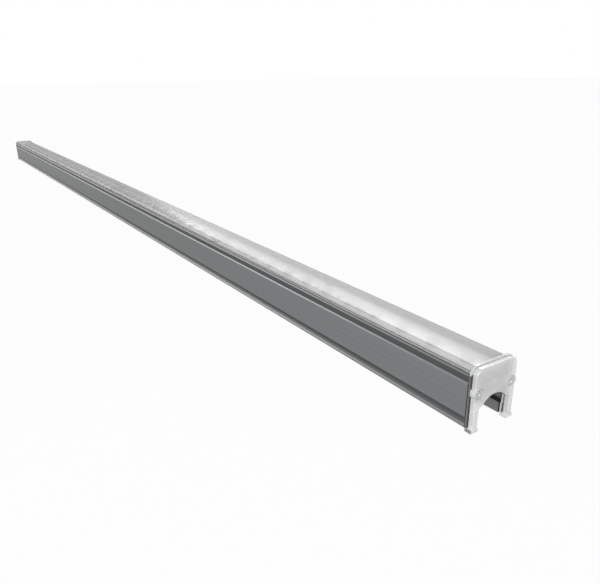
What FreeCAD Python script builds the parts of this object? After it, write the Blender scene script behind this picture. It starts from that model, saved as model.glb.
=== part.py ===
import FreeCAD, Part
import os
import Sketcher

# A linear wall washer light. It runs along X with its middle at X = 0 and stands on the feet of its
# end caps at Z = 0. Y is its width, and +Z is the side that gives the light.
# Sizes are in millimetres. Every "height" of the section stacks on the one before it.

SIZES = {
    # the whole light
    "overall_length": 1000.0,
    "foot_drop": 1.0,            # how far the feet stand below the profile
    # aluminium profile, inner side of the section
    "profile_width": 25.4,
    "side_wall": 2.0,            # beside the channel
    "lip_reach": 1.9,            # the lower lips, inwards from the channel's walls
    "lip_height": 5.1,
    "channel_height": 9.6,       # from the lips to the web
    "channel_corner": 1.2,
    "web_thickness": 2.3,
    "cavity_height": 2.7,        # wiring space between the web and the shelves
    "cavity_undercut": 1.0,      # the cavity's walls, outwards from the shelves' edges
    "shelf_thickness": 1.6,
    "shelf_bearing": 3.6,        # how far a board lies on each shelf
    "chamber_wall": 1.7,         # beside the light chamber above the shelves
    "top_lip_reach": 0.5,        # the upper lips, inwards from the chamber's walls
    "top_lip_thickness": 0.9,
    # aluminium profile, outer side of the section
    "bottom_chamfer": 0.3,
    "bottom_bead": 0.7,
    "bead_slope": 0.6,
    "cove_depth": 1.3,
    "cove_rise": 1.5,            # height of the rounded lower part of the cove
    "cove_height": 3.5,
    "cove_overhang": 0.6,
    "groove_floor": 2.8,
    "groove_depth": 0.6,
    "groove_chamfer": 0.7,
    "groove_overhang": 0.4,
    "top_bead": 0.5,
    "top_slope": 0.8,
    "top_slope_drop": 0.7,
    # screw ports in the profile, for the end cap screws
    "port_inset": 2.7,           # from the profile's side to the port's middle
    "port_rise": 2.5,            # above the underside of the web
    "port_diameter": 2.5,
    "port_slit": 1.2,
    # cover and its seals
    "cover_end_gap": 0.2,        # from the cap
    "seal_end_gap": 0.2,         # from the profile's end
    "cover_margin": 0.2,         # round the cover in the gasket
    "cover_air": 0.2,            # between the board screws and the cover's hooks
    "cover_wall": 1.2,
    "cover_crown": 1.5,          # thickness at the top
    "cover_rise": 2.9,           # crown above the profile
    "cover_arch": 0.35,          # crown above the rounded edges
    "cover_edge_radius": 1.2,
    "cover_step": 0.15,
    "cover_step_rise": 1.2,
    "hook_catch": 0.35,          # how far a hook reaches under its lip
    "hook_height": 0.5,
    "hook_gap": 0.2,
    "seal_thickness": 0.3,
    "seal_height": 0.6,
    # end caps
    "cap_overhang": 0.3,         # cap beside the profile
    "cap_proud": 0.6,            # cap above the cover
    "cap_corner_radius": 4.0,
    "cap_flange": 0.9,
    "cap_neck": 0.5,
    "cap_face": 2.1,
    "face_inset": 0.55,
    "neck_inset": 1.2,
    "face_rounding": 0.6,
    "leg_gap": 0.5,              # cap's legs above the ground, between the feet
    "foot_height": 1.6,
    "foot_clearance": 0.1,       # beside the mouth of the channel
    "arch_inset": 1.2,           # from the channel's walls
    "arch_rise": 3.6,
    "arch_shoulder_radius": 2.2,
    "arch_margin": 0.1,          # below the web
    "arch_groove": 0.8,          # how far the neck's groove cuts into the arch's wall
    "boss_diameter": 6.0,
    "tube_clearance": 0.2,       # above and below the cable tube, in the wiring space
    "tube_length": 2.0,
    "tube_wall": 0.6,
    "front_wall": 0.8,           # closes the core and the cable tube at the cap's face
    "core_width": 10.4,          # the cap is hollow before the wiring space
    "core_margin": 0.4,          # from the web and from the boards
    "gasket_thickness": 0.7,
    "gasket_inset": 0.3,         # from the profile's sides
    "window_inset": 0.8,         # from the wiring space's walls
    # end cap screws
    "screw_length": 12.0,
    "screw_clearance": 0.15,     # round the shank in the cap
    "head_diameter": 4.5,
    "head_height": 1.7,
    "head_sink": 0.15,
    "head_clearance": 0.15,
    "cross_width": 0.8,
    "cross_length": 2.6,
    "cross_depth": 1.0,
    # boards and lights
    "board_count": 4,
    "lights_per_board": 12,
    "board_clearance": 1.0,      # beside a board in the light chamber
    "board_end_gap": 1.3,        # from the outer boards to the profile's ends, less half a joint
    "board_thickness": 1.6,
    "board_joint": 0.6,
    "tape_thickness": 0.2,
    "tape_width": 3.2,
    "tape_edge": 0.2,
    "light_width": 3.5,
    "light_height": 0.7,
    "window_rim": 0.35,
    "window_depth": 0.15,
    "lens_height": 2.0,
    "lens_dome": 0.35,
    "lens_wall": 0.4,
    "lens_fit": 0.1,             # beside the corners of the light
    "lens_air": 0.2,             # above the light
    # parts between the lights: each place is counted in pitches from the light nearest the +X end
    "chip_place": 3.5,
    "chip_length": 4.9,
    "chip_width": 3.9,
    "chip_height": 1.5,
    "chip_rows": 4,
    "lead_reach": 1.0,
    "lead_width": 0.45,
    "lead_height": 0.5,
    "lead_pitch": 1.27,
    "capacitor_place": 4.5,
    "capacitor_length": 3.2,
    "capacitor_width": 1.6,
    "capacitor_height": 1.2,
    "resistor_place": 5.5,
    "resistor_spacing": 3,       # in pitches, between the two resistors of a board
    "resistor_length": 3.2,
    "resistor_width": 1.6,
    "resistor_height": 0.6,
    "link_length": 4.0,
    "link_back_edge": 1.5,       # from the board's back edge
    "link_front_edge": 4.5,
    "link_height": 1.4,
    # board screws
    "fixing_inset": 1.9,         # from the board's back edge
    "fixing_diameter": 2.1,
    "fixing_clearance": 0.2,
    "fixing_head_diameter": 3.6,
    "fixing_head_height": 0.6,
}


def size(name):
    """The expression that reads one driving size from the sheet."""
    return "Dims." + name


def half(name):
    return "(Dims." + name + " / 2)"


# Levels above the ground, each a stack of driving sizes.
PROFILE_FOOT = size("foot_drop")
LIP_TOP = "(" + PROFILE_FOOT + " + " + size("lip_height") + ")"
WEB_UNDER = "(" + LIP_TOP + " + " + size("channel_height") + ")"
WEB_TOP = "(" + WEB_UNDER + " + " + size("web_thickness") + ")"
SHELF_UNDER = "(" + WEB_TOP + " + " + size("cavity_height") + ")"
SHELF_TOP = "(" + SHELF_UNDER + " + " + size("shelf_thickness") + ")"
BOARD_UNDER = "(" + SHELF_TOP + " + " + size("tape_thickness") + ")"
BOARD_TOP = "(" + BOARD_UNDER + " + " + size("board_thickness") + ")"
HOOK_UNDER = "(" + BOARD_TOP + " + " + size("fixing_head_height") + " + " + size("cover_air") + ")"
HOOK_TOP = "(" + HOOK_UNDER + " + " + size("hook_height") + ")"
POCKET_TOP = "(" + HOOK_TOP + " + " + size("hook_gap") + ")"
RAIL_TOP = "(" + POCKET_TOP + " + " + size("top_lip_thickness") + ")"
CROWN_TOP = "(" + RAIL_TOP + " + " + size("cover_rise") + ")"
CAP_TOP = "(" + CROWN_TOP + " + " + size("cap_proud") + ")"
PORT_LEVEL = "(" + WEB_UNDER + " + " + size("port_rise") + ")"
TUBE_LEVEL = "((" + WEB_TOP + " + " + BOARD_UNDER + ") / 2)"

# Places along the light.
CAP_DEPTH = "(" + size("cap_flange") + " + " + size("cap_neck") + " + " + size("cap_face") + ")"
CAP_BACK = "(" + half("overall_length") + " - " + CAP_DEPTH + ")"
PROFILE_END = "(" + CAP_BACK + " - " + size("gasket_thickness") + ")"
COVER_END = "(" + CAP_BACK + " - " + size("cover_end_gap") + ")"

# Half widths.
PROFILE_HALF = half("profile_width")
GROOVE_HALF = "(" + PROFILE_HALF + " - " + size("groove_depth") + ")"
COVE_HALF = "(" + PROFILE_HALF + " - " + size("cove_depth") + ")"
CHANNEL_HALF = "(" + PROFILE_HALF + " - " + size("side_wall") + ")"
MOUTH_HALF = "(" + CHANNEL_HALF + " - " + size("lip_reach") + ")"
CHAMBER_HALF = "(" + PROFILE_HALF + " - " + size("chamber_wall") + ")"
TOP_LIP_HALF = "(" + CHAMBER_HALF + " - " + size("top_lip_reach") + ")"
COVER_HALF = "(" + TOP_LIP_HALF + " - " + size("seal_thickness") + ")"
HOOK_HALF = "(" + TOP_LIP_HALF + " + " + size("hook_catch") + ")"
BOARD_HALF = "(" + CHAMBER_HALF + " - " + size("board_clearance") + ")"
SHELF_HALF = "(" + BOARD_HALF + " - " + size("shelf_bearing") + ")"
CAVITY_HALF = "(" + SHELF_HALF + " + " + size("cavity_undercut") + ")"
PORT_PLACE = "(" + PROFILE_HALF + " - " + size("port_inset") + ")"
CAP_HALF = "(" + PROFILE_HALF + " + " + size("cap_overhang") + ")"
FOOT_HALF = "(" + MOUTH_HALF + " + " + size("foot_clearance") + ")"
FIXING_PLACE = "(" + BOARD_HALF + " - " + size("fixing_inset") + ")"

# The row of boards fills the profile, and the lights are spread evenly over it.
BOARD_PITCH = "(2 * (" + PROFILE_END + " - " + size("board_end_gap") + " - " + half("board_joint") \
    + ") / " + size("board_count") + ")"
LIGHT_PITCH = "(" + BOARD_PITCH + " / " + size("lights_per_board") + ")"

# Diameters of holes and of what goes through them.
SHANK_HOLE = "(" + size("port_diameter") + " + 2 * " + size("screw_clearance") + ")"
FIXING_HOLE = "(" + size("fixing_diameter") + " + 2 * " + size("fixing_clearance") + ")"
TUBE = "(" + BOARD_UNDER + " - " + WEB_TOP + " - 2 * " + size("tube_clearance") + ")"
TUBE_BORE = "(" + TUBE + " - 2 * " + size("tube_wall") + ")"
LENS_INSIDE = "(" + size("light_width") + " * sqrt(2) + 2 * " + size("lens_fit") + ")"
LENS = "(" + LENS_INSIDE + " + 2 * " + size("lens_wall") + ")"

doc = FreeCAD.newDocument("WallWasherLight")
sheet = doc.addObject("Spreadsheet::Sheet", "Dims")
nodes = []


def fill_sheet():
    """Writes each driving size into its own row, with its name as the alias."""
    for row, (name, value) in enumerate(SIZES.items(), start=1):
        sheet.set("A%d" % row, name)
        sheet.set("B%d" % row, repr(value))
        sheet.setAlias("B%d" % row, name)
    doc.recompute()


def value_of(expression):
    return float(sheet.evalExpression(expression))


def node(obj, label):
    """Names a finished sub-part and lists it for the files."""
    obj.Label = label
    nodes.append(obj)
    return obj


def minus(expression):
    return "-(" + expression + ")"


def origin_feature(body, role):
    """A plane or axis of the body's own origin, found by its role."""
    return [item for item in body.Origin.OriginFeatures if item.Role == role][0]


def new_body(name):
    return doc.addObject("PartDesign::Body", name)


def new_sketch(body, name, role, lift=None):
    """A sketch on one of the body's origin planes, lifted off it by an expression."""
    sketch = body.newObject("Sketcher::SketchObject", name)
    sketch.AttachmentSupport = [(origin_feature(body, role), "")]
    sketch.MapMode = "FlatFace"
    if lift is not None:
        sketch.setExpression("AttachmentOffset.Base.z", lift)
    return sketch


def pin_point(sketch, curve, end, place):
    """Fixes one end of a curve at a place given by two expressions."""
    for kind, expression in zip(("DistanceX", "DistanceY"), place):
        value = value_of(expression)
        index = sketch.addConstraint(Sketcher.Constraint(kind, -1, 1, curve, end, value))
        sketch.setExpression("Constraints[%d]" % index, expression)


def arc_between(start, stop, radius, side):
    """A minor arc from start to stop. It bulges to the left of the way for side 1, right for -1."""
    chord = stop - start
    middle = (start + stop) * 0.5
    reach = chord.Length / 2
    drop = (radius ** 2 - reach ** 2) ** 0.5
    across = FreeCAD.Vector(-chord.y, chord.x, 0) * (side / chord.Length)
    return Part.Arc(start, middle + across * (radius - drop), stop)


def draw_loop(sketch, corners):
    """Draws a closed outline. A corner is (across, up) for a straight way on to the next corner,
    or (across, up, radius, side) for an arc on to it. All places and radii are expressions."""
    spots = [FreeCAD.Vector(value_of(c[0]), value_of(c[1]), 0) for c in corners]
    curves = []
    for number, corner in enumerate(corners):
        start = spots[number]
        stop = spots[(number + 1) % len(spots)]
        if len(corner) == 2:
            curves.append(sketch.addGeometry(Part.LineSegment(start, stop), False))
        else:
            radius = value_of(corner[2])
            arc = arc_between(start, stop, radius, corner[3])
            curves.append(sketch.addGeometry(arc, False))
    for number, corner in enumerate(corners):
        join_curves(sketch, curves[number], curves[(number + 1) % len(curves)], spots, number)
    for number, corner in enumerate(corners):
        end = start_end(sketch, curves[number], spots[number])
        pin_point(sketch, curves[number], end, corner[:2])
        if len(corner) == 4:
            radius = value_of(corner[2])
            index = sketch.addConstraint(Sketcher.Constraint("Radius", curves[number], radius))
            sketch.setExpression("Constraints[%d]" % index, corner[2])


def start_end(sketch, curve, spot):
    """Which end (1 or 2) of a curve lies at the spot: an arc may be stored either way round."""
    near = (sketch.getPoint(curve, 1) - spot).Length
    far = (sketch.getPoint(curve, 2) - spot).Length
    return 1 if near <= far else 2


def join_curves(sketch, curve, following, spots, number):
    """Ties the end of one curve to the start of the next."""
    spot = spots[(number + 1) % len(spots)]
    first = start_end(sketch, curve, spot)
    second = start_end(sketch, following, spot)
    sketch.addConstraint(Sketcher.Constraint("Coincident", curve, first, following, second))


def draw_circle(sketch, centre, diameter):
    """Draws a circle with its centre and its diameter given by expressions."""
    spot = FreeCAD.Vector(value_of(centre[0]), value_of(centre[1]), 0)
    circle = Part.Circle(spot, FreeCAD.Vector(0, 0, 1), value_of(diameter) / 2)
    curve = sketch.addGeometry(circle, False)
    pin_point(sketch, curve, 3, centre)
    index = sketch.addConstraint(Sketcher.Constraint("Diameter", curve, value_of(diameter)))
    sketch.setExpression("Constraints[%d]" % index, diameter)


def draw_box(sketch, left, right, low, high):
    """Draws a rectangle between four expressions."""
    draw_loop(sketch, [(left, low), (right, low), (right, high), (left, high)])


def pad(body, sketch, length, both_ways=False):
    feature = body.newObject("PartDesign::Pad", sketch.Name + "Pad")
    feature.Profile = sketch
    feature.setExpression("Length", length)
    if both_ways:
        feature.SideType = "Symmetric"
    doc.recompute()
    return feature


def pocket(body, sketch, length=None, both_ways=False, backwards=False):
    """Cuts a sketch out of the body, through all of it or to a depth, and proves that it cut."""
    before = body.Shape.Volume
    feature = body.newObject("PartDesign::Pocket", sketch.Name + "Pocket")
    feature.Profile = sketch
    if length is None:
        feature.Type = "ThroughAll"
    else:
        feature.setExpression("Length", length)
    if both_ways:
        feature.SideType = "Symmetric"
    feature.Reversed = backwards
    doc.recompute()
    if body.Shape.Volume >= before:
        raise RuntimeError(sketch.Name + " cuts nothing")
    return feature


def repeat(body, features, role, step, count, reverse=False):
    """Repeats features along an axis of the body at a step."""
    feature = body.newObject("PartDesign::LinearPattern", body.Name + "Row")
    feature.Originals = features
    feature.Direction = (origin_feature(body, role), [""])
    feature.Mode = "Spacing"
    feature.Reversed = reverse
    feature.setExpression("Offset", step)
    feature.setExpression("Occurrences", count)
    body.Tip = feature
    doc.recompute()
    return feature


def mirror_features(body, features, role):
    """Adds the mirror image of features in one of the body's origin planes."""
    feature = body.newObject("PartDesign::Mirrored", body.Name + "Mirror")
    feature.Originals = features
    feature.MirrorPlane = (origin_feature(body, role), [""])
    body.Tip = feature
    doc.recompute()
    return feature


def mirrored_node(source, label, normal):
    """A second piece that is the mirror image of the first in a plane through the origin."""
    twin = doc.addObject("Part::Mirroring", label.title().replace("_", ""))
    twin.Source = source
    twin.Normal = normal
    return node(twin, label)


# ---------------------------------------------------------------- aluminium profile

def profile_corners():
    """Half of the profile's section, from the channel's mouth round the outside to the web."""
    rail_slope = "(" + RAIL_TOP + " - " + size("top_slope_drop") + ")"
    rail_bead = "(" + rail_slope + " - " + size("top_bead") + ")"
    groove_top = "(" + rail_bead + " - " + size("groove_overhang") + ")"
    groove_low = "(" + groove_top + " - " + size("groove_floor") + ")"
    face_top = "(" + groove_low + " - " + size("groove_chamfer") + ")"
    bead_low = "(" + PROFILE_FOOT + " + " + size("bottom_chamfer") + ")"
    bead_high = "(" + bead_low + " + " + size("bottom_bead") + ")"
    cove_low = "(" + bead_high + " + " + size("bead_slope") + ")"
    cove_high = "(" + cove_low + " + " + size("cove_height") + ")"
    cove_turn = "(" + cove_high + " - " + size("cove_overhang") + ")"
    cove_start = "(" + PROFILE_HALF + " - " + size("bead_slope") + ")"
    slope_half = "(" + PROFILE_HALF + " - " + size("top_slope") + ")"
    corner_half = "(" + CHANNEL_HALF + " - " + size("channel_corner") + ")"
    corner_low = "(" + WEB_UNDER + " - " + size("channel_corner") + ")"
    return [
        (MOUTH_HALF, PROFILE_FOOT),
        ("(" + PROFILE_HALF + " - " + size("bottom_chamfer") + ")", PROFILE_FOOT),
        (PROFILE_HALF, bead_low),
        (PROFILE_HALF, bead_high),
        (cove_start, cove_low, cove_radius(), -1),
        (COVE_HALF, "(" + cove_low + " + " + size("cove_rise") + ")"),
        (COVE_HALF, cove_turn),
        (PROFILE_HALF, cove_high),
        (PROFILE_HALF, face_top),
        (GROOVE_HALF, groove_low),
        (GROOVE_HALF, groove_top),
        (PROFILE_HALF, rail_bead),
        (PROFILE_HALF, rail_slope),
        (slope_half, RAIL_TOP),
        (TOP_LIP_HALF, RAIL_TOP),
        (TOP_LIP_HALF, POCKET_TOP),
        (CHAMBER_HALF, POCKET_TOP),
        (CHAMBER_HALF, SHELF_TOP),
        (SHELF_HALF, SHELF_TOP),
        (SHELF_HALF, SHELF_UNDER),
        (CAVITY_HALF, SHELF_UNDER),
        (CAVITY_HALF, WEB_TOP),
        ("0", WEB_TOP),
        ("0", WEB_UNDER),
        (corner_half, WEB_UNDER),
        (CHANNEL_HALF, corner_low),
        (CHANNEL_HALF, LIP_TOP),
        (MOUTH_HALF, LIP_TOP),
    ]


def cove_radius():
    """Radius of the cove's lower arc, which runs smoothly into the cove's upright wall."""
    across = "(" + size("cove_depth") + " - " + size("bead_slope") + ")"
    up = size("cove_rise")
    return "((" + across + "^2 + " + up + "^2) / (2 * " + across + "))"


def build_profile():
    """The extruded housing, with its screw ports and the board fixing holes."""
    body = new_body("Profile")
    section = new_sketch(body, "ProfileSection", "YZ_Plane")
    draw_loop(section, profile_corners())
    length = "(2 * " + PROFILE_END + ")"
    side = pad(body, section, length, both_ways=True)
    mirror_features(body, [side], "XZ_Plane")

    ports = new_sketch(body, "PortHoles", "YZ_Plane")
    slits = new_sketch(body, "PortSlits", "YZ_Plane")
    for sign in ("", "-"):
        centre = sign + PORT_PLACE
        draw_circle(ports, (centre, PORT_LEVEL), size("port_diameter"))
        low = "(" + WEB_UNDER + " - " + size("channel_corner") + ")"
        left = "(" + centre + " - " + half("port_slit") + ")"
        right = "(" + centre + " + " + half("port_slit") + ")"
        draw_box(slits, left, right, low, PORT_LEVEL)
    pocket(body, ports, length, both_ways=True)
    pocket(body, slits, length, both_ways=True)

    fixings = new_sketch(body, "FixingHoles", "XY_Plane", SHELF_TOP)
    draw_circle(fixings, (board_place(0), FIXING_PLACE), size("fixing_diameter"))
    cut = pocket(body, fixings, size("shelf_thickness"))
    repeat(body, [cut], "X_Axis", BOARD_PITCH, size("board_count"))
    return node(body, "housing_extrusion")


# ---------------------------------------------------------------- cover and seals

def cover_corners():
    """The cover's whole section: a shallow crown on two walls that end in outward hooks."""
    step_level = "(" + RAIL_TOP + " + " + size("cover_step_rise") + ")"
    step_half = "(" + COVER_HALF + " - " + size("cover_step") + ")"
    edge_top = "(" + CROWN_TOP + " - " + size("cover_arch") + ")"
    edge_low = "(" + edge_top + " - " + size("cover_edge_radius") + ")"
    edge_half = "(" + step_half + " - " + size("cover_edge_radius") + ")"
    inner_half = "(" + COVER_HALF + " - " + size("cover_wall") + ")"
    inner_top = "(" + CROWN_TOP + " - " + size("cover_crown") + ")"
    inner_edge = "(" + inner_top + " - " + size("cover_arch") + ")"
    inner_low = "(" + inner_edge + " - " + size("cover_edge_radius") + ")"
    inner_edge_half = "(" + inner_half + " - " + size("cover_edge_radius") + ")"
    outer_radius = crown_radius(edge_half)
    inner_radius = crown_radius(inner_edge_half)
    edge_radius = size("cover_edge_radius")
    return [
        (inner_half, HOOK_UNDER),
        (HOOK_HALF, HOOK_UNDER),
        (HOOK_HALF, HOOK_TOP),
        (COVER_HALF, HOOK_TOP),
        (COVER_HALF, step_level),
        (step_half, step_level),
        (step_half, edge_low, edge_radius, -1),
        (edge_half, edge_top, outer_radius, -1),
        (minus(edge_half), edge_top, edge_radius, -1),
        (minus(step_half), edge_low),
        (minus(step_half), step_level),
        (minus(COVER_HALF), step_level),
        (minus(COVER_HALF), HOOK_TOP),
        (minus(HOOK_HALF), HOOK_TOP),
        (minus(HOOK_HALF), HOOK_UNDER),
        (minus(inner_half), HOOK_UNDER),
        (minus(inner_half), inner_low, edge_radius, 1),
        (minus(inner_edge_half), inner_edge, inner_radius, 1),
        (inner_edge_half, inner_edge, edge_radius, 1),
        (inner_half, inner_low),
    ]


def crown_radius(half_chord):
    """Radius of the shallow arc that rises by cover_arch over twice the half chord."""
    rise = size("cover_arch")
    return "((" + half_chord + "^2 + " + rise + "^2) / (2 * " + rise + "))"


def build_cover():
    body = new_body("Cover")
    section = new_sketch(body, "CoverSection", "YZ_Plane")
    draw_loop(section, cover_corners())
    pad(body, section, "(2 * " + COVER_END + ")", both_ways=True)
    return node(body, "diffuser_cover")


def build_seals():
    """Thin seals between the cover's walls and the profile's top lips."""
    body = new_body("SealBack")
    section = new_sketch(body, "SealSection", "YZ_Plane")
    low = "(" + RAIL_TOP + " - " + size("seal_height") + ")"
    draw_box(section, COVER_HALF, TOP_LIP_HALF, low, RAIL_TOP)
    reach = "(" + PROFILE_END + " - " + size("seal_end_gap") + ")"
    pad(body, section, "(2 * " + reach + ")", both_ways=True)
    node(body, "cover_seal_back")
    mirrored_node(body, "cover_seal_front", FreeCAD.Vector(0, 1, 0))


# ---------------------------------------------------------------- end caps, gaskets, screws

def cap_outline(inset, low):
    """The cap's outline, drawn in by an inset: upright sides and two rounded top corners."""
    side = "(" + CAP_HALF + " - " + inset + ")"
    top = "(" + CAP_TOP + " - " + inset + ")"
    radius = "(" + size("cap_corner_radius") + " - " + inset + ")"
    corner_half = "(" + side + " - " + radius + ")"
    corner_level = "(" + top + " - " + radius + ")"
    return [
        (minus(side), low),
        (side, low),
        (side, corner_level, radius, -1),
        (corner_half, top),
        (minus(corner_half), top, radius, -1),
        (minus(side), corner_level),
    ]


def arch_corners(low, groove="0"):
    """The opening that leaves the channel free: upright sides, shoulders and an arch.
    A groove moves the whole outline that far outwards."""
    side = "(" + CHANNEL_HALF + " - " + size("arch_inset") + " + " + groove + ")"
    radius = "(" + size("arch_shoulder_radius") + " + " + groove + ")"
    rise = size("arch_rise")
    top = "(" + WEB_UNDER + " - " + size("arch_margin") + " + " + groove + ")"
    shoulder = "(" + top + " - " + rise + ")"
    shoulder_low = "(" + shoulder + " - " + radius + ")"
    spring = "(" + side + " - " + radius + ")"
    arch_radius = "((" + spring + "^2 + " + rise + "^2) / (2 * " + rise + "))"
    return [
        (minus(side), low),
        (side, low),
        (side, shoulder_low, radius, -1),
        (spring, shoulder, arch_radius, -1),
        (minus(spring), shoulder, radius, -1),
        (minus(side), shoulder_low),
    ]


def cut_arch(body, name, start):
    below = minus(size("foot_drop"))
    opening = new_sketch(body, name, "YZ_Plane", start)
    draw_loop(opening, arch_corners(below))
    pocket(body, opening, backwards=True)


def front_edges(shape, level):
    """Names of the outline edges in the plane X = level, apart from those at the bottom."""
    names = []
    for number, edge in enumerate(shape.Edges, start=1):
        box = edge.BoundBox
        flat = abs(box.XMin - level) < 1e-6 and abs(box.XMax - level) < 1e-6
        upright = box.ZMax > value_of(LIP_TOP)
        if flat and upright:
            names.append("Edge%d" % number)
    return names


def build_cap():
    """The moulded cap at the +X end: flange, neck, rounded face, arch, feet, screw bosses, and
    behind the face a hollow core with the cable tube."""
    body = new_body("CapRight")
    leg_foot = size("leg_gap")
    face_back = "(" + CAP_BACK + " + " + size("cap_flange") + " + " + size("cap_neck") + ")"

    face = new_sketch(body, "CapFace", "YZ_Plane", face_back)
    draw_loop(face, cap_outline(size("face_inset"), leg_foot))
    block = pad(body, face, size("cap_face"))
    rounding = body.newObject("PartDesign::Fillet", "CapRounding")
    front = value_of(half("overall_length"))
    rounding.Base = (block, front_edges(block.Shape, front))
    rounding.setExpression("Radius", size("face_rounding"))
    body.Tip = rounding
    doc.recompute()

    neck = new_sketch(body, "CapNeck", "YZ_Plane", CAP_BACK)
    draw_loop(neck, cap_outline(size("neck_inset"), leg_foot))
    pad(body, neck, "(" + size("cap_flange") + " + " + size("cap_neck") + ")")
    flange = new_sketch(body, "CapFlange", "YZ_Plane", CAP_BACK)
    draw_loop(flange, cap_outline("0", leg_foot))
    pad(body, flange, size("cap_flange"))
    bosses = new_sketch(body, "CapBosses", "YZ_Plane", CAP_BACK)
    for sign in ("", "-"):
        draw_circle(bosses, (sign + PORT_PLACE, PORT_LEVEL), size("boss_diameter"))
    pad(body, bosses, CAP_DEPTH)
    cut_arch(body, "CapArch", CAP_BACK)
    groove = new_sketch(body, "CapGroove", "YZ_Plane", face_back)
    draw_loop(groove, arch_corners(size("foot_height"), size("arch_groove")))
    pocket(body, groove, size("cap_neck"))

    feet = new_sketch(body, "CapFeet", "YZ_Plane", CAP_BACK)
    draw_box(feet, FOOT_HALF, CAP_HALF, "0", size("foot_height"))
    draw_box(feet, minus(CAP_HALF), minus(FOOT_HALF), "0", size("foot_height"))
    pad(body, feet, CAP_DEPTH)
    ears = new_sketch(body, "CapEars", "YZ_Plane", CAP_BACK)
    draw_box(ears, FOOT_HALF, CAP_HALF, leg_foot, LIP_TOP)
    draw_box(ears, minus(CAP_HALF), minus(FOOT_HALF), leg_foot, LIP_TOP)
    pad(body, ears, size("cap_flange"))

    holes = new_sketch(body, "CapHoles", "YZ_Plane", CAP_BACK)
    seats = new_sketch(body, "CapSeats", "YZ_Plane", half("overall_length"))
    seat = "(" + size("head_diameter") + " + 2 * " + size("head_clearance") + ")"
    for sign in ("", "-"):
        centre = (sign + PORT_PLACE, PORT_LEVEL)
        draw_circle(holes, centre, SHANK_HOLE)
        draw_circle(seats, centre, seat)
    pocket(body, holes, backwards=True)
    pocket(body, seats, "(" + size("head_height") + " + " + size("head_sink") + ")")

    core = new_sketch(body, "CapCore", "YZ_Plane", CAP_BACK)
    core_low = "(" + WEB_TOP + " + " + size("core_margin") + ")"
    core_high = "(" + BOARD_UNDER + " - " + size("core_margin") + ")"
    draw_box(core, minus(half("core_width")), half("core_width"), core_low, core_high)
    core_depth = "(" + CAP_DEPTH + " - " + size("front_wall") + ")"
    pocket(body, core, core_depth, backwards=True)
    start = "(" + CAP_BACK + " - " + size("tube_length") + ")"
    tube_depth = "(" + size("tube_length") + " + " + core_depth + ")"
    tube = new_sketch(body, "CapTube", "YZ_Plane", start)
    draw_circle(tube, ("0", TUBE_LEVEL), TUBE)
    pad(body, tube, tube_depth)
    bore = new_sketch(body, "CapTubeBore", "YZ_Plane", start)
    draw_circle(bore, ("0", TUBE_LEVEL), TUBE_BORE)
    pocket(body, bore, tube_depth, backwards=True)
    node(body, "end_cap_right")
    mirrored_node(body, "end_cap_left", FreeCAD.Vector(1, 0, 0))


def build_gasket():
    """The sealing sheet between the metal's end and the cap. It leaves the cover's end free and
    has a window to the wiring space."""
    body = new_body("GasketRight")
    side = "(" + PROFILE_HALF + " - " + size("gasket_inset") + ")"
    notch = "(" + HOOK_HALF + " + " + size("cover_margin") + ")"
    notch_low = "(" + HOOK_UNDER + " - " + size("cover_margin") + ")"
    outline = new_sketch(body, "GasketSheet", "YZ_Plane", PROFILE_END)
    draw_loop(outline, [
        (minus(side), PROFILE_FOOT),
        (side, PROFILE_FOOT),
        (side, RAIL_TOP),
        (notch, RAIL_TOP),
        (notch, notch_low),
        (minus(notch), notch_low),
        (minus(notch), RAIL_TOP),
        (minus(side), RAIL_TOP),
    ])
    pad(body, outline, size("gasket_thickness"))
    cut_arch(body, "GasketArch", PROFILE_END)
    holes = new_sketch(body, "GasketHoles", "YZ_Plane", PROFILE_END)
    for sign in ("", "-"):
        draw_circle(holes, (sign + PORT_PLACE, PORT_LEVEL), SHANK_HOLE)
    window = "(" + CAVITY_HALF + " - " + size("window_inset") + ")"
    draw_box(holes, minus(window), window, WEB_TOP, BOARD_UNDER)
    pocket(body, holes, backwards=True)
    node(body, "end_gasket_right")
    mirrored_node(body, "end_gasket_left", FreeCAD.Vector(1, 0, 0))


def build_cap_screws():
    """Two cross-head screws in the +X cap, with the head just below the boss's face."""
    body = new_body("ScrewsRight")
    head_face = "(" + half("overall_length") + " - " + size("head_sink") + ")"
    head_back = "(" + head_face + " - " + size("head_height") + ")"
    tip = "(" + head_face + " - " + size("screw_length") + ")"
    shanks = new_sketch(body, "ScrewShanks", "YZ_Plane", tip)
    heads = new_sketch(body, "ScrewHeads", "YZ_Plane", head_back)
    for sign in ("", "-"):
        centre = (sign + PORT_PLACE, PORT_LEVEL)
        draw_circle(shanks, centre, size("port_diameter"))
        draw_circle(heads, centre, size("head_diameter"))
    pad(body, shanks, size("screw_length"))
    pad(body, heads, size("head_height"))
    for number, (wide, tall) in enumerate((("cross_length", "cross_width"),
                                           ("cross_width", "cross_length"))):
        cross = new_sketch(body, "ScrewCross%d" % number, "YZ_Plane", head_face)
        for sign in ("", "-"):
            centre = sign + PORT_PLACE
            draw_box(cross,
                     "(" + centre + " - " + half(wide) + ")",
                     "(" + centre + " + " + half(wide) + ")",
                     "(" + PORT_LEVEL + " - " + half(tall) + ")",
                     "(" + PORT_LEVEL + " + " + half(tall) + ")")
        pocket(body, cross, size("cross_depth"))
    node(body, "end_cap_screws_right")
    mirrored_node(body, "end_cap_screws_left", FreeCAD.Vector(1, 0, 0))


# ---------------------------------------------------------------- boards and what they carry

def board_place(number):
    """X of the middle of a board, counted from 0 at the -X end."""
    return "((" + str(number) + " - (" + size("board_count") + " - 1) / 2) * " + BOARD_PITCH + ")"


def first_light(number):
    """X of the first light on a board."""
    return "(" + board_place(number) + " - (" + size("lights_per_board") + " - 1) / 2 * " \
        + LIGHT_PITCH + ")"


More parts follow.
